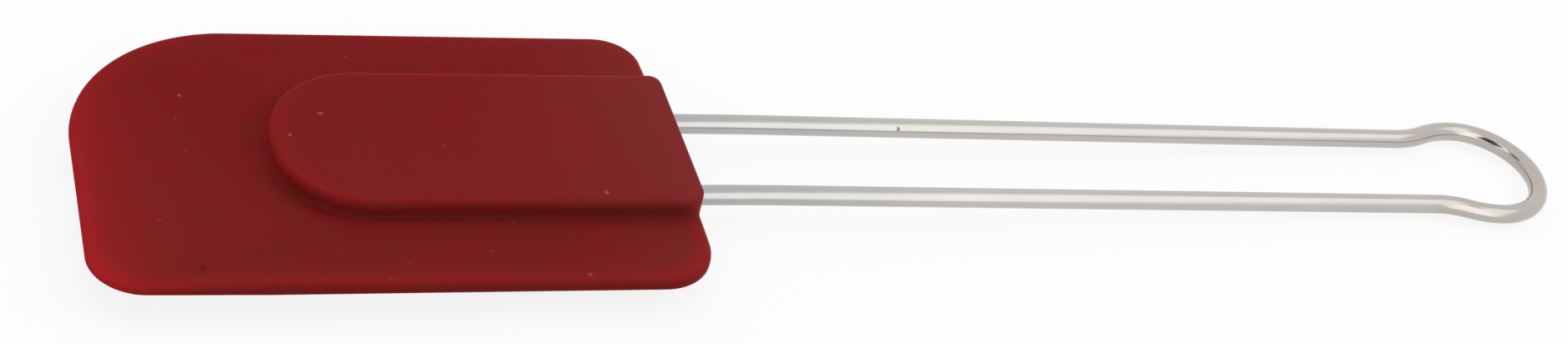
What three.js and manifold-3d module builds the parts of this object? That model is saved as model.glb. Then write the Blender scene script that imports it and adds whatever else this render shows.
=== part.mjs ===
// A silicone spatula with a bent wire handle, in millimetres, +Z up.
// It lies flat: the underside of the boss and the nose of the hanging loop touch z = 0.
// The tip of the blade is at -X, the hanging loop at +X, and the origin is under the middle of its length.
import * as THREE from "three";
import { mergeVertices } from "three/addons/utils/BufferGeometryUtils.js";
import Module from "manifold-3d";

// Driving dimensions of the wire handle.
const wireDiameter = 3.2;
const legSpacing = 17.5; // between the middles of the two legs
const handleReach = 159.5; // from the head's end face to the outside of the loop's nose
const loopFlare = 2.45; // how far each leg swings out to make the loop
const flareLength = 12.5; // length along X of that swing
const levelStub = 3; // the legs stay level this far out of the head
const bendLength = 14; // length of the gentle bend that follows

// Driving dimensions of the silicone head.
const bladeLength = 93.4;
const bladeWidth = 59.8;
const bladeThickness = 3.6; // beside the boss
const edgeThickness = 2; // along the two long edges
const bladeRim = 1.5; // rounding of the blade's edge
const sweepCorner = 26; // the large tip corner, which follows a bowl
const scrapeCorner = 8; // the small tip corner, for getting into the edge of a pan
const sweepShoulder = 6.8; // the handle-side corner behind the large tip corner
const scrapeShoulder = 8.7; // the handle-side corner behind the small tip corner
const tipSlant = 1.6; // how much further the tip reaches at its small corner's side
const tipThickness = 0.9;
const tipTaper = 30; // length of the thinned tip
const bossLength = 64.85;
const noseFullness = 1.4; // the nose's rounding is this much smaller on the small corner's side
const bossOverhang = 0.7; // the boss ends this far past the blade
const bossRim = 1; // rounding of the boss's upper and lower edges
const bossCorner = 3; // plan rounding where the boss ends
const socketClearance = 0.3; // between a leg and its socket, all round and at the end
const socketFaceWall = 2.6; // silicone over and under a socket
const socketSideWall = 5.25; // silicone beside a socket
const socketEndWall = 4; // silicone ahead of a socket

// Smoothness of the faceted solids.
const arcSegments = 6; // half the segments of one arc
const rimSegments = 3;
const wireSteps = 160;
const boreSides = 24;
const cutMargin = 2; // how far a cutting body reaches past what it cuts
const weldDistance = 1e-4; // corners closer than this are one corner
const quarterTurn = Math.PI / 2;

// Sizes that follow from those above.
const wireRadius = wireDiameter / 2;
const legHalfSpacing = legSpacing / 2;
const socketRadius = wireRadius + socketClearance;
const socketOuterSide = legHalfSpacing + socketRadius;
const bossHalfWidth = socketOuterSide + socketSideWall;
const bossThickness = 2 * (socketRadius + socketFaceWall);
const middleHeight = bossThickness / 2;
const headLength = bladeLength + bossOverhang;
const overallLength = headLength + handleReach;
const tipX = -overallLength / 2;
const tipSlope = tipSlant / bladeWidth;
const scrapeTipX = tipX - scrapeCorner * (tipSlope + Math.hypot(1, tipSlope) - 1); // before its rounding
const sweepTipX = scrapeTipX + tipSlant;
const bladeEndX = tipX + bladeLength;
const headEndX = tipX + headLength;
const bossNoseX = headEndX - bossLength;
const bossNoseInset = bossHalfWidth - Math.sqrt(bossHalfWidth ** 2 - socketOuterSide ** 2);
const socketEndX = bossNoseX + bossNoseInset + socketEndWall;
const legEndX = socketEndX + socketClearance;
const loopRadius = legHalfSpacing + loopFlare;
const loopNoseX = headEndX + handleReach - wireRadius;
const loopMiddleX = loopNoseX - loopRadius;
const flareStartX = loopMiddleX - flareLength;

const silicone = new THREE.MeshStandardMaterial({ color: 0x7a1f20, roughness: 0.55, metalness: 0 });
const polishedSteel = new THREE.MeshStandardMaterial({ color: 0xc9c7c3, roughness: 0.18, metalness: 1 });

const wasm = await Module();
wasm.setup();

function toSolid(geometry) {
  const bare = geometry.clone();
  bare.deleteAttribute("normal");
  bare.deleteAttribute("uv");
  const merged = mergeVertices(bare, weldDistance);
  const mesh = new wasm.Mesh({
    numProp: 3,
    vertProperties: new Float32Array(merged.attributes.position.array),
    triVerts: new Uint32Array(merged.index.array),
  });
  return new wasm.Manifold(mesh);
}

function toGeometry(solid) {
  const mesh = solid.getMesh();
  const geometry = new THREE.BufferGeometry();
  geometry.setAttribute("position", new THREE.BufferAttribute(mesh.vertProperties, mesh.numProp));
  geometry.setIndex(new THREE.BufferAttribute(mesh.triVerts, 1));
  geometry.computeVertexNormals();
  return geometry;
}

// A closed outline through corner points, in counterclockwise order, each rounded by a radius of its own.
function roundedOutline(corners) {
  const outline = new THREE.Shape();
  corners.forEach((corner, index) => {
    const before = corners.at(index - 1);
    const after = corners[(index + 1) % corners.length];
    const arriving = new THREE.Vector2(corner.x - before.x, corner.y - before.y).normalize();
    const leaving = new THREE.Vector2(after.x - corner.x, after.y - corner.y).normalize();
    const turn = Math.acos(arriving.dot(leaving));
    const setBack = corner.radius * Math.tan(turn / 2);
    const middleX = corner.x - setBack * arriving.x - corner.radius * arriving.y;
    const middleY = corner.y - setBack * arriving.y + corner.radius * arriving.x;
    const fromAngle = arriving.angle() - quarterTurn;
    outline.absarc(middleX, middleY, corner.radius, fromAngle, fromAngle + turn);
  });
  return outline;
}

// A flat plate of the given outline, centred on the middle height, with its two rims rounded.
function roundedPlate(outline, thickness, rim) {
  const plate = new THREE.ExtrudeGeometry(outline, {
    depth: thickness - 2 * rim,
    curveSegments: arcSegments,
    bevelSegments: rimSegments,
    bevelThickness: rim,
    bevelSize: rim,
    bevelOffset: -rim,
  });
  plate.translate(0, 0, middleHeight - thickness / 2 + rim);
  return toSolid(plate);
}

// A bar that runs along Y, its section given as [across, up] points about the middle height.
function bar(section, length) {
  const outline = new THREE.Shape(section.map(([across, up]) => new THREE.Vector2(across, up)));
  const solid = new THREE.ExtrudeGeometry(outline, { depth: length, bevelEnabled: false });
  solid.rotateX(quarterTurn);
  solid.translate(0, length / 2, middleHeight);
  return solid;
}

// The wedge that the blade's tip is thinned to. It opens from the tip's thickness towards the handle.
function tipWedge() {
  const slope = (bladeThickness - tipThickness) / 2 / tipTaper;
  const fromX = -cutMargin;
  const toX = bladeLength + cutMargin;
  const fromHalf = tipThickness / 2 + slope * fromX;
  const toHalf = tipThickness / 2 + slope * toX;
  const section = [[fromX, -fromHalf], [toX, -toHalf], [toX, toHalf], [fromX, fromHalf]];
  const wedge = bar(section, bladeWidth + 2 * cutMargin);
  wedge.translate(tipX, 0, 0);
  return toSolid(wedge);
}

// The lens that thins the blade from beside the boss to its two long edges.
function edgeLens() {
  const slope = (bladeThickness - edgeThickness) / 2 / (bladeWidth / 2 - bossHalfWidth);
  const reach = bladeWidth / 2 + cutMargin;
  const edge = edgeThickness / 2 - slope * cutMargin;
  const ridge = edge + slope * reach;
  const section = [[-reach, -edge], [0, -ridge], [reach, -edge], [reach, edge], [0, ridge], [-reach, edge]];
  const lens = bar(section, bladeLength + 2 * cutMargin);
  lens.rotateZ(quarterTurn);
  lens.translate(tipX + bladeLength / 2, 0, 0);
  return toSolid(lens);
}

// The blind hole that takes one leg of the wire.
function socket(side) {
  const length = headEndX + cutMargin - socketEndX;
  const bore = new THREE.CylinderGeometry(socketRadius, socketRadius, length, boreSides);
  bore.rotateZ(-quarterTurn);
  bore.translate(socketEndX + length / 2, side * legHalfSpacing, middleHeight);
  return toSolid(bore);
}

// One moulding: the thin blade, the boss that stands out of both its faces, and the two sockets.
function makeHead() {
  const bladeOutline = roundedOutline([
    { x: bladeEndX, y: -bladeWidth / 2, radius: scrapeShoulder },
    { x: bladeEndX, y: bladeWidth / 2, radius: sweepShoulder },
    { x: sweepTipX, y: bladeWidth / 2, radius: sweepCorner },
    { x: scrapeTipX, y: -bladeWidth / 2, radius: scrapeCorner },
  ]);
  const bossOutline = roundedOutline([
    { x: headEndX, y: -bossHalfWidth, radius: bossCorner },
    { x: headEndX, y: bossHalfWidth, radius: bossCorner },
    { x: bossNoseX, y: bossHalfWidth, radius: bossHalfWidth },
    { x: bossNoseX, y: -bossHalfWidth, radius: bossHalfWidth - noseFullness },
  ]);
  const slab = roundedPlate(bladeOutline, bladeThickness, bladeRim);
  const blade = slab.intersect(tipWedge()).intersect(edgeLens());
  const boss = roundedPlate(bossOutline, bossThickness, bossRim);
  const moulding = blade.add(boss).subtract(socket(1)).subtract(socket(-1));
  const head = new THREE.Mesh(toGeometry(moulding), silicone);
  head.name = "silicone_head";
  return head;
}

// The wire's route seen from above: out along one leg, round the loop and back along the other.
function wirePlan() {
  const swing = 2 * Math.atan2(loopFlare, flareLength);
  const bend = flareLength / 2 / Math.sin(swing);
  const plan = new THREE.Path();
  plan.moveTo(legEndX, legHalfSpacing);
  plan.lineTo(flareStartX, legHalfSpacing);
  plan.absarc(flareStartX, legHalfSpacing + bend, bend, -quarterTurn, -quarterTurn + swing, false);
  plan.absarc(loopMiddleX, loopRadius - bend, bend, quarterTurn + swing, quarterTurn, true);
  plan.absarc(loopMiddleX, 0, loopRadius, quarterTurn, -quarterTurn, true);
  plan.absarc(loopMiddleX, bend - loopRadius, bend, -quarterTurn, -quarterTurn - swing, true);
  plan.absarc(flareStartX, -legHalfSpacing - bend, bend, quarterTurn - swing, quarterTurn, false);
  plan.lineTo(legEndX, -legHalfSpacing);
  return plan;
}

// Height of the wire's middle: level in the head, then a gentle bend and a straight fall to the loop's nose.
function wireHeight(x) {
  const bendStartX = headEndX + levelStub;
  const fall = (middleHeight - wireRadius) / (loopNoseX - bendStartX - bendLength / 2);
  const past = x - bendStartX;
  if (past <= 0) return middleHeight;
  if (past < bendLength) return middleHeight - (fall * past ** 2) / (2 * bendLength);
  return middleHeight - fall * (past - bendLength / 2);
}

class WireRoute extends THREE.Curve {
  constructor(plan) {
    super();
    this.plan = plan;
  }
  getPoint(t) {
    const seenFromAbove = this.plan.getPoint(t);
    return new THREE.Vector3(seenFromAbove.x, seenFromAbove.y, wireHeight(seenFromAbove.x));
  }
}

// One length of round wire, its two cut ends hidden in the head.
function makeHandle() {
  const section = new THREE.Shape();
  section.absarc(0, 0, wireRadius, 0, 4 * quarterTurn);
  const wire = new THREE.ExtrudeGeometry(section, {
    steps: wireSteps,
    curveSegments: arcSegments,
    extrudePath: new WireRoute(wirePlan()),
  });
  const handle = new THREE.Mesh(wire, polishedSteel);
  handle.name = "wire_handle";
  return handle;
}

const spatula = new THREE.Group();
spatula.add(makeHead(), makeHandle());

export default spatula;
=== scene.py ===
# A silicone spatula on a bent wire handle, in metres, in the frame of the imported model.
# The tip of the blade is at -X, the hanging loop at +X, and it lies flat on z = 0.
import math
import bmesh
import bpy
import numpy as np
from mathutils import Matrix, Vector


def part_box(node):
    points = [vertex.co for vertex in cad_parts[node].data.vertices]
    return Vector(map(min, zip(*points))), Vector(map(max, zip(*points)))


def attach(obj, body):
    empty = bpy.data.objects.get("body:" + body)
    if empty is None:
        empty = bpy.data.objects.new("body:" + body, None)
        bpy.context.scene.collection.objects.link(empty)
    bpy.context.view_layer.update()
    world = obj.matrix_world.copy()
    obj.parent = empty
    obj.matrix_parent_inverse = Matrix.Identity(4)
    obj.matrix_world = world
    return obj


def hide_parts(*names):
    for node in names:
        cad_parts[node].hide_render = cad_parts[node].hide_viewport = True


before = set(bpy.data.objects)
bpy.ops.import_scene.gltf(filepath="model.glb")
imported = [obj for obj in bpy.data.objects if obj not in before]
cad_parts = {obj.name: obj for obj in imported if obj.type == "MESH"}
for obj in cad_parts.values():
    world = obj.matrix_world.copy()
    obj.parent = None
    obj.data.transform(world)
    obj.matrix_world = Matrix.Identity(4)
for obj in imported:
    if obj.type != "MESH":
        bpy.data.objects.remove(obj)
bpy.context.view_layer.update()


# The camera
# A hand-held camera half a metre away, on the side of the blade's small corner and a little towards its tip.
# It is rolled so that the spatula lies level across a long, low picture.
mm = 0.001
camera_azimuth = math.radians(-26.333)
camera_elevation = math.radians(36.713)
camera_roll = math.radians(16.484)
camera_distance = 507.242 * mm
camera_aim = Vector((-13.226, 2.252, 0)) * mm
camera_lens = 72.84
camera_sensor = 36

towards_camera = Vector((
    math.sin(camera_azimuth) * math.cos(camera_elevation),
    -math.cos(camera_azimuth) * math.cos(camera_elevation),
    math.sin(camera_elevation),
))
level_right = Vector((math.cos(camera_azimuth), math.sin(camera_azimuth), 0))
level_up = towards_camera.cross(level_right)
picture_right = math.cos(camera_roll) * level_right + math.sin(camera_roll) * level_up
picture_up = math.cos(camera_roll) * level_up - math.sin(camera_roll) * level_right

camera_data = bpy.data.cameras.new("camera")
camera_data.sensor_fit = "HORIZONTAL"
camera_data.sensor_width = camera_sensor
camera_data.lens = camera_lens
camera = bpy.data.objects.new("camera", camera_data)
camera.matrix_world = (
    Matrix.Translation(camera_aim + towards_camera * camera_distance)
    @ Matrix((picture_right, picture_up, towards_camera)).transposed().to_4x4()
)
bpy.context.scene.collection.objects.link(camera)
bpy.context.scene.camera = camera


# The wire handle
# One length of drawn stainless wire, cut, deburred and bent into a U whose round end is flared into a loop.
# Its two straight legs are pushed into the head, and outside it they fall gently to the table.
head_low, head_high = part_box("silicone_head")
handle_low, handle_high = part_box("wire_handle")
middle_height = (head_low.z + head_high.z) / 2
wire_radius = handle_high.z - middle_height
leg_half_spacing = 8.75 * mm
loop_radius = 11.2 * mm
flare_length = 12.5 * mm
level_stub = 3 * mm
bend_length = 14 * mm
deburred_edge = 0.4 * mm
leg_end_x = handle_low.x
head_end_x = head_high.x
loop_nose_x = handle_high.x - wire_radius
loop_middle_x = loop_nose_x - loop_radius
flare_start_x = loop_middle_x - flare_length
quarter_turn = math.pi / 2
leg_stations = 120
flare_stations = 14
loop_stations = 40
edge_stations = 4
wire_sides = 48

# The steel's colour along the wire carries a painted reflection: dimmer and cooler at the head, warmer at the
# loop.
steel_painted_dim_at_head = (0.4, 0.403, 0.397)
steel_past_head = (0.512, 0.491, 0.463)
steel_before_loop = (0.508, 0.479, 0.447)
steel_painted_warm_at_loop = (0.475, 0.43, 0.394)
rubbed_steel = (0.6, 0.58, 0.555)
steel_roughness = (0.13, 0.25)
drawing_lines = (45, 70, 0)
drawing_depth = 0.02 * mm
stain_color = (0.3, 0.26, 0.23)
stain_radius = 0.5 * mm
stains_per_metre = 45
dark_spot = (Vector((7, 7.36, 4.72)) * mm,)
dark_spot_color = (0.13, 0.1, 0.09)
dark_spot_radius = 0.45 * mm
noise_low = 0.3
noise_high = 0.7
waves_per_radius = 0.8
speck_core = 0.45
spot_core = 0.35
spot_stretch = (0.7, 1.5)


def wire_height(x):
    """Height of the wire's middle: level in the head, a gentle bend, then a fall to the loop's nose."""
    past = np.maximum(x - head_end_x - level_stub, 0)
    in_bend = np.minimum(past, bend_length)
    fall = (middle_height - wire_radius) / (loop_nose_x - head_end_x - level_stub - bend_length / 2)
    return middle_height - fall * (in_bend ** 2 / (2 * bend_length) + past - in_bend)


def arc(middle_x, middle_y, radius, from_angle, to_angle, stations):
    """Points along an arc seen from above, without its first one."""
    angle = np.linspace(from_angle, to_angle, stations)[1:]
    return np.column_stack((middle_x + radius * np.cos(angle), middle_y + radius * np.sin(angle)))


def wire_route():
    """Points along the middle of the wire, from one cut end round the loop to the other."""
    swing = 2 * math.atan2(loop_radius - leg_half_spacing, flare_length)
    bend = flare_length / 2 / math.sin(swing)
    leg_x = np.linspace(leg_end_x, flare_start_x, leg_stations)
    half = np.vstack((
        np.column_stack((leg_x, np.full(leg_stations, leg_half_spacing))),
        arc(flare_start_x, leg_half_spacing + bend, bend,
            -quarter_turn, swing - quarter_turn, flare_stations),
        arc(loop_middle_x, loop_radius - bend, bend,
            swing + quarter_turn, quarter_turn, flare_stations),
        arc(loop_middle_x, 0, loop_radius, quarter_turn, 0, loop_stations),
    ))
    plan = np.vstack((half, half[-2::-1] * (1, -1)))
    return np.column_stack((plan, wire_height(plan[:, 0])))


def make_wire(name):
    """A round tube along the route, its cut edges rounded off, with a map that runs along and around it."""
    route = wire_route()
    rounding = np.linspace(0, quarter_turn, edge_stations)
    inset = deburred_edge * (1 - np.cos(rounding))
    first = route[0] + np.outer(inset, (1, 0, 0))
    last = route[-1] + np.outer(inset[::-1], (1, 0, 0))
    narrowing = deburred_edge * (1 - np.sin(rounding))
    radius = wire_radius - np.concatenate((narrowing, np.zeros(len(route) - 2), narrowing[::-1]))
    route = np.vstack((first, route[1:-1], last))
    along = np.gradient(route, axis=0)
    along[:edge_stations] = (1, 0, 0)
    along[-edge_stations:] = (-1, 0, 0)
    along /= np.linalg.norm(along, axis=1)[:, None]
    across = np.cross((0, 0, 1), along)
    across /= np.linalg.norm(across, axis=1)[:, None]
    upward = np.cross(along, across)
    travelled = np.concatenate(([0], np.cumsum(np.linalg.norm(np.diff(route, axis=0), axis=1))))
    turn = np.arange(wire_sides) * 2 * math.pi / wire_sides - quarter_turn

    form = bmesh.new()
    run = form.loops.layers.uv.new("along_and_around")
    rings = []
    for station in range(len(route)):
        around = np.outer(np.cos(turn), across[station]) + np.outer(np.sin(turn), upward[station])
        rings.append([form.verts.new(point) for point in route[station] + radius[station] * around])
    for station in range(len(rings) - 1):
        for side in range(wire_sides):
            places = ((station, side), (station, side + 1), (station + 1, side + 1), (station + 1, side))
            face = form.faces.new([rings[ring][spot % wire_sides] for ring, spot in places])
            face.smooth = True
            for corner, (ring, spot) in zip(face.loops, places):
                corner[run].uv = (travelled[ring], spot / wire_sides)
    for cut_end in (rings[0], rings[-1]):
        form.faces.new(cut_end)
    bmesh.ops.recalc_face_normals(form, faces=form.faces)
    mesh = bpy.data.meshes.new(name)
    form.to_mesh(mesh)
    form.free()
    piece = bpy.data.objects.new(name, mesh)
    bpy.context.scene.collection.objects.link(piece)
    return piece


def add_node(tree, kind, settings=(), **inputs):
    """A shader node with its settings; an input given as a socket is linked, any other is set."""
    node = tree.nodes.new(kind)
    for setting, value in dict(settings).items():
        setattr(node, setting, value)
    for name, value in inputs.items():
        socket = node.inputs[name.replace("_", " ")]
        if isinstance(value, bpy.types.NodeSocket):
            tree.links.new(value, socket)
        else:
            socket.default_value = value
    return node


def color_ramp(tree, factor, *stops):
    """A colour ramp through (position, linear colour) stops."""
    ramp = add_node(tree, "ShaderNodeValToRGB", Fac=factor)
    elements = ramp.color_ramp.elements
    while len(elements) < len(stops):
        elements.new(0.5)
    for element, (position, color) in zip(elements, stops):
        element.position = position
        element.color = (*color, 1)
    return ramp.outputs["Color"]


def mix_color(tree, factor, first, second):
    """A colour that goes from the first to the second; either may be a socket or a linear colour."""
    node = add_node(tree, "ShaderNodeMix", {"data_type": "RGBA"})
    tree.links.new(factor, node.inputs["Factor"])
    for socket, color in zip((node.inputs[6], node.inputs[7]), (first, second)):
        if isinstance(color, bpy.types.NodeSocket):
            tree.links.new(color, socket)
        else:
            socket.default_value = (*color, 1)
    return node.outputs[2]


def map_range(tree, value, from_range, to_range, smooth=False):
    """A value carried from one range to another, clamped."""
    kind = "SMOOTHSTEP" if smooth else "LINEAR"
    node = add_node(tree, "ShaderNodeMapRange", {"interpolation_type": kind}, Value=value,
                    From_Min=from_range[0], From_Max=from_range[1], To_Min=to_range[0], To_Max=to_range[1])
    return node.outputs["Result"]


def specks(tree, place, per_metre, radius):
    """1 on small uneven spots, 0 elsewhere: seeds in space, seen where the surface passes close to one."""
    waves = waves_per_radius / radius
    wobble = add_node(tree, "ShaderNodeTexNoise", Vector=place, Scale=waves, Detail=1).outputs["Color"]
    uneven = add_node(tree, "ShaderNodeVectorMath", {"operation": "MULTIPLY_ADD"})
    tree.links.new(wobble, uneven.inputs[0])
    uneven.inputs[1].default_value = (2 * radius, 2 * radius, 2 * radius)
    tree.links.new(place, uneven.inputs[2])
    seeds = add_node(tree, "ShaderNodeTexVoronoi", Vector=uneven.outputs["Vector"], Scale=per_metre)
    reach = radius * per_metre
    return map_range(tree, seeds.outputs["Distance"], (speck_core * reach, reach), (1, 0), smooth=True)


def spots(tree, place, points, radius):
    """1 on small uneven spots about the given points, 0 elsewhere."""
    waves = waves_per_radius / radius
    wobble = add_node(tree, "ShaderNodeTexNoise", Vector=place, Scale=waves, Detail=1).outputs["Fac"]
    nearest = None
    for point in points:
        away = add_node(tree, "ShaderNodeVectorMath", {"operation": "DISTANCE"})
        tree.links.new(place, away.inputs[0])
        away.inputs[1].default_value = point
        distance = away.outputs["Value"]
        if nearest:
            nearer = add_node(tree, "ShaderNodeMath", {"operation": "MINIMUM"})
            tree.links.new(nearest, nearer.inputs[0])
            tree.links.new(distance, nearer.inputs[1])
            distance = nearer.outputs["Value"]
        nearest = distance
    uneven = add_node(tree, "ShaderNodeMath", {"operation": "MULTIPLY"})
    tree.links.new(nearest, uneven.inputs[0])
    stretch = map_range(tree, wobble, (noise_low, noise_high), spot_stretch)
    tree.links.new(stretch, uneven.inputs[1])
    return map_range(tree, uneven.outputs["Value"], (spot_core * radius, radius), (1, 0), smooth=True)


def new_material(name):
    """A node material; returns the material, its tree and its Principled shader."""
    material = bpy.data.materials.new(name)
    material.use_nodes = True
    return material, material.node_tree, material.node_tree.nodes["Principled BSDF"]


def drawn_wire_steel():
    """Bright drawn stainless steel: lengthwise drawing lines, faint cloudy wear, a few dark stains, and a
    painted reflection that dims it near the head and warms it towards the loop.
    """
    material, tree, steel = new_material("drawn_wire_steel")
    run = add_node(tree, "ShaderNodeUVMap", {"uv_map": "along_and_around"}).outputs["UV"]
    place = add_node(tree, "ShaderNodeTexCoord").outputs["Object"]
    lengthwise = add_node(tree, "ShaderNodeVectorMath", {"operation": "MULTIPLY"})
    tree.links.new(run, lengthwise.inputs[0])
    lengthwise.inputs[1].default_value = drawing_lines
    lines = add_node(tree, "ShaderNodeTexNoise", {"noise_dimensions": "2D"},
                     Vector=lengthwise.outputs["Vector"], Scale=1, Detail=3).outputs["Fac"]
    clouds = add_node(tree, "ShaderNodeTexNoise", Vector=place, Scale=90, Detail=3).outputs["Fac"]
    # Painted reflection along the wire: the steel is drawn darker near the head and warmer towards the loop.
    from_head = add_node(tree, "ShaderNodeSeparateXYZ", Vector=place).outputs["X"]
    painted_reflection_tint = color_ramp(tree, map_range(tree, from_head, (head_end_x, loop_nose_x), (0, 1)),
                      (0, steel_painted_dim_at_head), (0.28, steel_past_head),
                      (0.72, steel_before_loop), (1, steel_painted_warm_at_loop))
    bright = mix_color(tree, map_range(tree, clouds, (noise_low, noise_high), (0, 0.25)), painted_reflection_tint, rubbed_steel)
    stained = mix_color(tree, specks(tree, place, stains_per_metre, stain_radius), bright, stain_color)
    spotted = mix_color(tree, spots(tree, place, dark_spot, dark_spot_radius), stained, dark_spot_color)
    steel.inputs["Metallic"].default_value = 1
    tree.links.new(spotted, steel.inputs["Base Color"])
    tree.links.new(map_range(tree, lines, (0.25, 0.75), steel_roughness), steel.inputs["Roughness"])
    drawn = add_node(tree, "ShaderNodeBump", Strength=0.12, Distance=drawing_depth, Height=lines)
    tree.links.new(drawn.outputs["Normal"], steel.inputs["Normal"])
    return material


wire = make_wire("bent_wire")
wire.data.materials.append(drawn_wire_steel())
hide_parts("wire_handle")
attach(wire, "handle")


# The silicone head
# One compression moulding in deep red silicone: a blade that thins towards its long edges and its tip, with a
# raised boss on both faces. The boss has two blind sockets that grip the legs of the wire.
blade_length = 93.4 * mm
blade_half_thickness = 1.8 * mm
blade_rim = 0.95 * mm
widest_rim_share = 0.95
edge_half_thickness = 1 * mm
edge_half_at_tip = 0.25 * mm
edge_taper = 0.03
sweep_corner = 26 * mm
scrape_corner = 8 * mm
near_shoulder = 8.7 * mm
far_shoulder = 6.8 * mm
tip_slant = 1.6 * mm
tip_slant_fade = 40 * mm
tip_half_thickness = 0.45 * mm
tip_taper = 0.045
taper_blend = 0.2 * mm
boss_length = 64.85 * mm
boss_half_width = 15.9 * mm
near_nose = 13.6 * mm
near_end_corner = 3.6 * mm
far_end_corner = 2.2 * mm
boss_rim = 1 * mm
sharp_rim = 0.5 * mm
nose_reach = 18 * mm
nose_fade = 12 * mm
far_side_fade = 8 * mm
far_side_at_middle = 0.2
end_fade = 5 * mm
boss_draft = math.tan(math.radians(1.5))
boss_foot = 0.5 * mm
socket_gap = 0.06 * mm
socket_end_gap = 0.3 * mm
socket_mouth = 0.4 * mm
mould_cell = 0.42 * mm
settle_rounds = 5
slope_step = 0.02 * mm
tip_x = head_low.x
blade_half_width = head_high.y
boss_half_thickness = (head_high.z - head_low.z) / 2
tip_slope = tip_slant / (2 * blade_half_width)
tip_middle_x = tip_x + tip_slope * (blade_half_width - scrape_corner)

# Painted glow: how strongly the red is lightened to stand in for light through thin silicone, along edges and
# corners and on the boss's faces.
blade_edge_glow = 0.2
near_edge_glow = 0.1
blade_edge_depth = 1.2 * mm
blade_edge_spread = 1.5 * mm
tip_glow = 0.58
tip_glow_fade = 7 * mm
small_corner_glow = 0.4
small_corner_spread = 7 * mm
grip_corner_glow = 0.2
grip_corner_spread = 8 * mm
boss_face_glow = 0.05
boss_edge_glow = 0.03
nose_edge_glow = 0.125
boss_edge_depth = 0.9 * mm
boss_edge_spread = 1.1 * mm
boss_edge_fade = 10 * mm

# A painted reflection tint: the near side of the head is drawn greener and the far side redder.
near_side_painted_reds = ((0.18, 0.016, 0.0104), (0.226, 0.0106, 0.0114))
far_side_painted_reds = ((0.172, 0.0093, 0.0074), (0.217, 0.0054, 0.0082))
side_blend = 25 * mm
# Painted sheen towards the handle's end, strongest on the top; at the very end the sheen comes with the red
# held down as painted shade.
painted_sheen_red = (0.197, 0.0205, 0.019)
end_sheen_and_shade_red = (0.155, 0.0245, 0.023)
painted_glow_red = (0.4, 0.0132, 0.0175)
grip_direction = (1, 0, 3.5)
painted_sheen_from = (-38 * mm, 2 * mm)
end_sheen_and_shade_from = (-7 * mm, -1 * mm)
silicone_roughness = (0.48, 0.58)
light_depth = 2 * mm
skin_grain = 0.05 * mm
fluff_color = (0.34, 0.085, 0.078)
fluff_radius = 0.5 * mm
dust_color = (0.25, 0.033, 0.03)
dust_radius = 0.45 * mm
stray_color = (0.25, 0.036, 0.033)
stray_radius = 0.5 * mm
strays_per_metre = 95
grime_color = (0.14, 0.008, 0.007)
grime_radius = 0.75 * mm


def plan_distance(x, y, start_x, end_x, half_width, near_corner, far_corner, near_end, far_end):
    """Signed distance, seen from above, to a rectangle whose corners have radii of their own."""
    from_middle = x - (start_x + end_x) / 2
    start_corner = np.where(y > 0, far_corner, near_corner)
    end_corner = np.where(y > 0, far_end, near_end)
    corner = np.where(from_middle > 0, end_corner, start_corner)
    past_x = np.abs(from_middle) - (end_x - start_x) / 2 + corner
    past_y = np.abs(y) - half_width + corner
    outside = np.hypot(np.maximum(past_x, 0), np.maximum(past_y, 0))
    return np.minimum(np.maximum(past_x, past_y), 0) + outside - corner


def plate_distance(plan, height, half_thickness, rim):
    """Signed distance to a plate of that plan with its upper and lower rims rounded."""
    side = plan + rim
    face = np.abs(height) - half_thickness + rim
    return np.minimum(np.maximum(side, face), 0) + np.hypot(np.maximum(side, 0), np.maximum(face, 0)) - rim


def joined(first, second, fillet):
    """The nearer of two distances, with a fillet where the two forms meet."""
    overlap = np.maximum(fillet - np.abs(first - second), 0) / fillet
    return np.minimum(first, second) - overlap ** 2 * fillet / 4


def blade_plan(x, y):
    """Signed distance, seen from above, to the blade with its slightly slanted tip."""
    lean = tip_slope * y * np.clip(1 - (x - tip_x) / tip_slant_fade, 0, 1)
    return plan_distance(x - lean, y, tip_middle_x, tip_x + blade_length, blade_half_width,
                         scrape_corner, sweep_corner, near_shoulder, far_shoulder)


def boss_plan(x, y):
    """Signed distance, seen from above, to the boss with its round nose."""
    return plan_distance(x, y, head_end_x - boss_length, head_end_x, boss_half_width,
                         near_nose, boss_half_width, near_end_corner, far_end_corner)


def end_share(x):
    """1 at the boss's flat end, fading to 0 a few millimetres before it."""
    return np.clip((x - head_end_x) / end_fade + 1, 0, 1)


def nose_share(x):
    """1 at the boss's nose, fading to 0 along its straight sides."""
    return np.clip((head_end_x - boss_length + nose_reach - x) / nose_fade, 0, 1)


def blade_half_at(x, y):
    """Half the blade's thickness: full beside the boss, less towards the long edges, least at the tip."""
    past_tip = x - tip_x
    along_edge = np.minimum(edge_half_at_tip + edge_taper * past_tip, edge_half_thickness)
    rise = (blade_half_thickness - edge_half_thickness) / (blade_half_width - boss_half_width)
    edged = joined(along_edge + rise * (blade_half_width - np.abs(y)), blade_half_thickness, taper_blend)
    tapered = joined(tip_half_thickness + tip_taper * past_tip, edged, taper_blend)
    return np.maximum(tapered, edge_half_at_tip)


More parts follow.
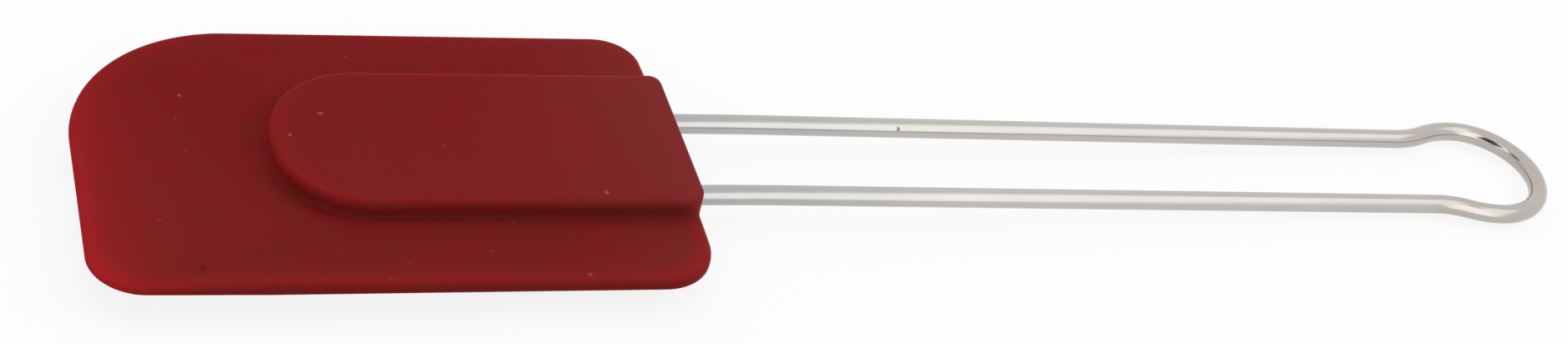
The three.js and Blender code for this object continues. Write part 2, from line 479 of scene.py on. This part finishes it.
def head_distance(point):
    """Signed distance to the whole moulding, negative inside the silicone."""
    x, y, height = point[..., 0], point[..., 1], point[..., 2] - middle_height
    half_thickness = blade_half_at(x, y)
    edge_rounding = np.minimum(blade_rim, widest_rim_share * half_thickness)
    blade = plate_distance(blade_plan(x, y), height, half_thickness, edge_rounding)
    draft = boss_draft * np.maximum(np.abs(height) - blade_half_thickness, 0)
    far_side = np.clip(y / far_side_fade + far_side_at_middle, 0, 1)
    rim = boss_rim + (sharp_rim - boss_rim) * (nose_share(x) * far_side + end_share(x))
    boss = plate_distance(boss_plan(x, y) + draft, height, boss_half_thickness, rim)
    bore = np.hypot(np.abs(y) - leg_half_spacing, height) - wire_radius - socket_gap
    socket = np.maximum(bore, leg_end_x - socket_end_gap - x)
    return -joined(-joined(blade, boss, boss_foot), socket, socket_mouth)


def distance_slope(distance, point):
    """Gradient of a distance, by differences."""
    shifts = np.eye(3) * slope_step
    return np.stack([(distance(point + s) - distance(point - s)) / (2 * slope_step) for s in shifts], axis=-1)


def mould(distance, low, high, cell):
    """Corners and four-sided faces of a form's skin, one corner in each cell that the skin passes through."""
    axes = [np.arange(a - 2 * cell, b + 3 * cell, cell) for a, b in zip(low, high)]
    grid = np.stack(np.meshgrid(*axes, indexing="ij"), axis=-1)
    value = distance(grid)
    cells = tuple(n - 1 for n in value.shape)
    total = np.zeros((*cells, 3))
    crossings = np.zeros(cells)
    edges = []
    for axis in range(3):
        near = np.take(value, range(cells[axis]), axis)
        far = np.take(value, range(1, cells[axis] + 1), axis)
        crossed = (near < 0) != (far < 0)
        edges.append((crossed, near < 0))
        place = np.take(grid, range(cells[axis]), axis).copy()
        place[..., axis] += cell * near / np.where(crossed, near - far, 1)
        others = [a for a in range(3) if a != axis]
        for shift in ((0, 0), (0, 1), (1, 0), (1, 1)):
            beside = [slice(None)] * 3
            for other, start in zip(others, shift):
                beside[other] = slice(start, start + cells[other])
            hit = crossed[tuple(beside)]
            total += np.where(hit[..., None], place[tuple(beside)], 0)
            crossings += hit
    skin = crossings > 0
    number = np.full(cells, -1)
    number[skin] = np.arange(skin.sum())
    corners = total[skin] / crossings[skin][:, None]

    faces = []
    for axis, (crossed, starts_inside) in enumerate(edges):
        second, third = (axis + 1) % 3, (axis + 2) % 3
        at = np.argwhere(crossed)
        ring = []
        for back_second, back_third in ((1, 1), (0, 1), (0, 0), (1, 0)):
            neighbour = at.copy()
            neighbour[:, second] -= back_second
            neighbour[:, third] -= back_third
            ring.append(number[tuple(neighbour.T)])
        quads = np.stack(ring, axis=-1)
        faces.append(np.where(starts_inside[crossed][:, None], quads, quads[:, ::-1]))

    for _ in range(settle_rounds):
        slope = distance_slope(distance, corners)
        corners = corners - slope * (distance(corners) / (slope ** 2).sum(axis=1))[:, None]
    return corners, np.concatenate(faces)


def band(plan, depth, spread):
    """1 along a line at that depth inside an outline, fading to 0 on both sides of it."""
    return np.exp(-((plan + depth) / spread) ** 2)


def light_through(x, y, height):
    """How much painted glow lightens the colour at a place on its skin, from 0 to 1: painted light that
    stands in for light coming through the thin silicone, along its edges and corners and on the boss's faces.
    """
    blade_edge = band(blade_plan(x, y), blade_edge_depth, blade_edge_spread)
    tip = np.exp((tip_x - x) / tip_glow_fade)
    small_corner = band(np.hypot(x - tip_x, y + blade_half_width), 0, small_corner_spread)
    grip_corner = band(np.hypot(x - tip_x - blade_length, y + blade_half_width), 0, grip_corner_spread)
    boss_face = np.abs(height) > boss_half_thickness - boss_rim
    boss_edge = band(boss_plan(x, y), boss_edge_depth, boss_edge_spread) * boss_face
    boss_edge *= np.clip((head_end_x - x) / boss_edge_fade, 0, 1)
    glow = (blade_edge_glow - near_edge_glow * y / blade_half_width) * blade_edge
    glow += tip_glow * tip
    glow += small_corner_glow * small_corner
    glow += grip_corner_glow * grip_corner
    nose_edge = nose_edge_glow * (1 - y / boss_half_width) * nose_share(x)
    glow += (boss_edge_glow + nose_edge) * boss_edge + boss_face_glow * boss_face
    return np.clip(glow, 0, 1)


def make_head(name):
    """The moulding, with a note at each corner of how much painted glow lightens its colour there."""
    corners, faces = mould(head_distance, head_low, head_high, mould_cell)
    mesh = bpy.data.meshes.new(name)
    mesh.from_pydata(corners.tolist(), [], faces.tolist())
    mesh.shade_smooth()
    glow = light_through(corners[:, 0], corners[:, 1], corners[:, 2] - middle_height)
    painted_glow = mesh.attributes.new("painted_glow", "FLOAT", "POINT")
    painted_glow.data.foreach_set("value", glow)
    piece = bpy.data.objects.new(name, mesh)
    bpy.context.scene.collection.objects.link(piece)
    return piece


def on_top(places):
    """Points on the head's upper side, from places seen from above in millimetres."""
    points = []
    for x, y in np.array(places) * mm:
        on_boss = boss_plan(x, y) < 0
        points.append((x, y, middle_height + (boss_half_thickness if on_boss else blade_half_at(x, y))))
    return points


bright_fluff = on_top(((-94.6, 0), (-89.1, 5.2), (-48.6, -13.4), (-108.8, 13.4), (-54, -28.1)))
faint_dust = on_top((
    (-71.6, -2.4), (-115.5, -15), (-109.7, 0), (-110.1, 8),
    (-81.7, 23.3), (-81, -25.4), (-63.3, -16.9), (-67.8, -23),
))
dark_grime = on_top(((-110.7, -25.5),))


def red_silicone():
    """Matte deep red silicone: faintly cloudy, with a painted reflection tint that differs between its near
    and far sides, painted glow where it is thin, and painted sheen and painted shade towards the handle's
    end.
    """
    material, tree, silicone = new_material("red_silicone")
    place = add_node(tree, "ShaderNodeTexCoord").outputs["Object"]
    cloudiness = add_node(tree, "ShaderNodeTexNoise", Vector=place, Scale=150, Detail=5, Roughness=0.68)
    clouds = cloudiness.outputs["Fac"]
    # Painted reflection tint, greener on the near side and redder on the far side, blended across the head.
    near_side = color_ramp(tree, clouds, (noise_low, near_side_painted_reds[0]), (noise_high, near_side_painted_reds[1]))
    far_side = color_ramp(tree, clouds, (noise_low, far_side_painted_reds[0]), (noise_high, far_side_painted_reds[1]))
    across = add_node(tree, "ShaderNodeSeparateXYZ", Vector=place).outputs["Y"]
    body = mix_color(tree, map_range(tree, across, (-side_blend, side_blend), (0, 1)), near_side, far_side)
    # Painted glow from the note on the mesh lightens the red towards a brighter red.
    thin = add_node(tree, "ShaderNodeAttribute", {"attribute_name": "painted_glow"}).outputs["Fac"]
    # Painted sheen grows towards the handle's end and up the top face; at the end the red is held down as
    # painted shade.
    towards_grip = add_node(tree, "ShaderNodeVectorMath", {"operation": "DOT_PRODUCT"})
    tree.links.new(place, towards_grip.inputs[0])
    towards_grip.inputs[1].default_value = grip_direction
    painted_sheen_share = map_range(tree, towards_grip.outputs["Value"], painted_sheen_from, (0, 1), smooth=True)
    with_painted_sheen = mix_color(tree, painted_sheen_share, body, painted_sheen_red)
    end_sheen_and_shade_share = map_range(tree, towards_grip.outputs["Value"], end_sheen_and_shade_from, (0, 1), smooth=True)
    with_end_sheen_and_shade = mix_color(tree, end_sheen_and_shade_share, with_painted_sheen, end_sheen_and_shade_red)
    with_painted_glow = mix_color(tree, thin, with_end_sheen_and_shade, painted_glow_red)
    dusted = mix_color(tree, spots(tree, place, faint_dust, dust_radius), with_painted_glow, dust_color)
    fluffy = mix_color(tree, spots(tree, place, bright_fluff, fluff_radius), dusted, fluff_color)
    stray = mix_color(tree, specks(tree, place, strays_per_metre, stray_radius), fluffy, stray_color)
    grimy = mix_color(tree, spots(tree, place, dark_grime, grime_radius), stray, grime_color)
    tree.links.new(grimy, silicone.inputs["Base Color"])
    roughness = map_range(tree, clouds, (noise_low, noise_high), silicone_roughness)
    tree.links.new(roughness, silicone.inputs["Roughness"])
    silicone.inputs["Specular IOR Level"].default_value = 0.03
    silicone.inputs["Subsurface Weight"].default_value = 0.7
    silicone.inputs["Subsurface Radius"].default_value = (1, 0.15, 0.15)
    silicone.inputs["Subsurface Scale"].default_value = light_depth
    grain = add_node(tree, "ShaderNodeTexNoise", Vector=place, Scale=2600, Detail=2).outputs["Fac"]
    skin = add_node(tree, "ShaderNodeBump", Strength=0.15, Distance=skin_grain, Height=grain)
    tree.links.new(skin.outputs["Normal"], silicone.inputs["Normal"])
    return material


head = make_head("moulded_head")
head.data.materials.append(red_silicone())
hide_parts("silicone_head")
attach(head, "head")


# The floor and the light
# A wide sheet of white paper in an even white room, with a window past the handle, a pale panel behind and a
# small pale card beside the tip. The paper keeps a soft shadow of the spatula. The wire mirrors a bright card
# that is bent round the camera's side, a dark cloth at the camera and a brown one beside it.
paper_half_size = 15
paper_white = (0.95, 0.95, 0.95, 1)
paper_bounce = (0.62, 0.62, 0.62, 1)
paper_glow_share = 0.86
room_light = 0.54
card_radius = 1.2
card_from_x = -2.1
card_to_x = 1.2
card_columns = 67
card_rows = 13
lower_edge_x = (0.6, 0.83, 1.2)
lower_edge_angle = (0, 33, 75)
upper_edge_x = (-0.9, -0.4, 0.42, 0.5, 0.6, 0.73)
upper_edge_angle = (80, 60, 60, 74, 90, 95)
card_dimming_x = (0.42, 0.56)
card_glow = (1.88, 1.62)
card_whites = ((0.97, 0.97, 0.97), (1, 1, 1))
dark_cloth_half_size = 0.21
dark_cloth_shades = ((0.012, 0.008, 0.007), (0.035, 0.024, 0.02))
brown_cloth_half_size = 0.22
brown_cloth_shades = ((0.28, 0.22, 0.2), (0.38, 0.31, 0.29))
brown_cloth_middle = Vector((-0.84, 0.12, 0.53))


def seen_directly(tree):
    """1 for what the camera sees straight, in a mirror or through something clear, 0 for light on things."""
    path = add_node(tree, "ShaderNodeLightPath").outputs
    seen = path["Is Camera Ray"]
    for also in ("Is Glossy Ray", "Is Transmission Ray"):
        either = add_node(tree, "ShaderNodeMath", {"operation": "MAXIMUM"})
        tree.links.new(seen, either.inputs[0])
        tree.links.new(path[also], either.inputs[1])
        seen = either.outputs["Value"]
    return seen


def white_paper():
    """White paper: it shows nearly white with a soft shadow on it, and sends less light back up."""
    material, tree, paper = new_material("white_paper")
    paper.inputs["Base Color"].default_value = paper_bounce
    paper.inputs["Roughness"].default_value = 0.9
    paper.inputs["Specular IOR Level"].default_value = 0
    lit = add_node(tree, "ShaderNodeBsdfDiffuse", Color=paper_white)
    glow = add_node(tree, "ShaderNodeEmission", Color=(1, 1, 1, 1), Strength=1)
    shown = add_node(tree, "ShaderNodeMixShader", Fac=paper_glow_share)
    tree.links.new(lit.outputs["BSDF"], shown.inputs[1])
    tree.links.new(glow.outputs["Emission"], shown.inputs[2])
    mixed = add_node(tree, "ShaderNodeMixShader", Fac=seen_directly(tree))
    tree.links.new(paper.outputs["BSDF"], mixed.inputs[1])
    tree.links.new(shown.outputs["Shader"], mixed.inputs[2])
    tree.links.new(mixed.outputs["Shader"], tree.nodes["Material Output"].inputs["Surface"])
    return material


def plain_cloth(name, darker, lighter):
    """Faintly uneven cloth, for what stands round the camera and is mirrored in the wire."""
    material, tree, cloth = new_material(name)
    place = add_node(tree, "ShaderNodeTexCoord").outputs["Object"]
    weave = add_node(tree, "ShaderNodeTexNoise", Vector=place, Scale=30, Detail=2).outputs["Fac"]
    shades = color_ramp(tree, weave, (noise_low, darker), (noise_high, lighter))
    tree.links.new(shades, cloth.inputs["Base Color"])
    cloth.inputs["Roughness"].default_value = 1
    cloth.inputs["Specular IOR Level"].default_value = 0
    return material


def make_square(name, half_size):
    """A flat square about its own middle."""
    square = bmesh.new()
    bmesh.ops.create_grid(square, x_segments=1, y_segments=1, size=half_size)
    mesh = bpy.data.meshes.new(name)
    square.to_mesh(mesh)
    square.free()
    piece = bpy.data.objects.new(name, mesh)
    bpy.context.scene.collection.objects.link(piece)
    return piece


def only_mirrored(piece):
    """Leaves a piece of the stage out of everything but the mirror image in the wire."""
    for kind_of_ray in ("camera", "diffuse", "transmission", "shadow"):
        setattr(piece, "visible_" + kind_of_ray, False)


def make_card(name):
    """A card bent round the spatula's length on the camera's side; its lower edge climbs towards the loop."""
    along = np.linspace(card_from_x, card_to_x, card_columns)
    low = np.radians(np.interp(along, lower_edge_x, lower_edge_angle))
    high = np.radians(np.interp(along, upper_edge_x, upper_edge_angle))
    angle = low + (high - low) * np.linspace(0, 1, card_rows)[:, None]
    across = -card_radius * np.cos(angle)
    upward = card_radius * np.sin(angle)
    points = np.stack((np.broadcast_to(along, angle.shape), across, upward), axis=-1)
    number = np.arange(card_rows * card_columns).reshape(card_rows, card_columns)
    faces = np.stack((number[:-1, :-1], number[:-1, 1:], number[1:, 1:], number[1:, :-1]), axis=-1)
    mesh = bpy.data.meshes.new(name)
    mesh.from_pydata(points.reshape(-1, 3).tolist(), [], faces.reshape(-1, 4).tolist())
    card = bpy.data.objects.new(name, mesh)
    bpy.context.scene.collection.objects.link(card)
    return card


def bright_card():
    """A brightly lit pale card, faintly uneven and a little dimmer towards the loop."""
    material, tree, card = new_material("bright_card")
    place = add_node(tree, "ShaderNodeTexCoord").outputs["Object"]
    clouds = add_node(tree, "ShaderNodeTexNoise", Vector=place, Scale=4, Detail=2).outputs["Fac"]
    along = add_node(tree, "ShaderNodeSeparateXYZ", Vector=place).outputs["X"]
    glow = add_node(tree, "ShaderNodeEmission", Strength=map_range(tree, along, card_dimming_x, card_glow))
    whites = color_ramp(tree, clouds, (noise_low, card_whites[0]), (noise_high, card_whites[1]))
    tree.links.new(whites, glow.inputs["Color"])
    tree.links.new(glow.outputs["Emission"], tree.nodes["Material Output"].inputs["Surface"])
    return material


def soft_lamp(name, way, distance, size, glow):
    """A square lamp that faces the middle of the spatula and is neither in the picture nor mirrored."""
    lamp_data = bpy.data.lights.new(name, "AREA")
    lamp_data.size = size
    lamp_data.energy = math.pi * size ** 2 * glow
    lamp = bpy.data.objects.new(name, lamp_data)
    lamp.location = Vector(way).normalized() * distance
    lamp.rotation_euler = Vector(way).to_track_quat("Z", "Y").to_euler()
    lamp.visible_camera = False
    lamp.visible_glossy = False
    bpy.context.scene.collection.objects.link(lamp)


paper = make_square("paper", paper_half_size)
paper.data.materials.append(white_paper())

soft_lamp("window_light", (0.8, 0.05, 0.55), distance=1.4, size=0.5, glow=7.5)
soft_lamp("back_panel", (-0.1, 0.75, 0.6), distance=1.4, size=1.6, glow=1.1)
soft_lamp("side_card", (-0.82, -0.5, 0.35), distance=1.2, size=0.8, glow=0.92)

streak = make_card("streak_card")
streak.data.materials.append(bright_card())
only_mirrored(streak)

dark_cloth = make_square("mirrored_camera", dark_cloth_half_size)
dark_cloth.matrix_world = camera.matrix_world
dark_cloth.data.materials.append(plain_cloth("dark_cloth", *dark_cloth_shades))
only_mirrored(dark_cloth)

brown_cloth = make_square("mirrored_corner", brown_cloth_half_size)
brown_cloth.matrix_world = (
    Matrix.Translation(brown_cloth_middle)
    @ brown_cloth_middle.to_track_quat("Z", "Y").to_matrix().to_4x4()
)
brown_cloth.data.materials.append(plain_cloth("brown_cloth", *brown_cloth_shades))
only_mirrored(brown_cloth)

room = bpy.data.worlds.new("white_room")
room.use_nodes = True
bpy.context.scene.world = room
room_tree = room.node_tree
room_lit = room_tree.nodes["Background"]
room_lit.inputs["Color"].default_value = (1, 1, 1, 1)
room_lit.inputs["Strength"].default_value = room_light
room_seen = add_node(room_tree, "ShaderNodeBackground", Color=(1, 1, 1, 1), Strength=1)
room_mixed = add_node(room_tree, "ShaderNodeMixShader", Fac=seen_directly(room_tree))
room_tree.links.new(room_lit.outputs["Background"], room_mixed.inputs[1])
room_tree.links.new(room_seen.outputs["Background"], room_mixed.inputs[2])
room_tree.links.new(room_mixed.outputs["Shader"], room_tree.nodes["World Output"].inputs["Surface"])

bpy.context.scene.view_settings.view_transform = "Standard"
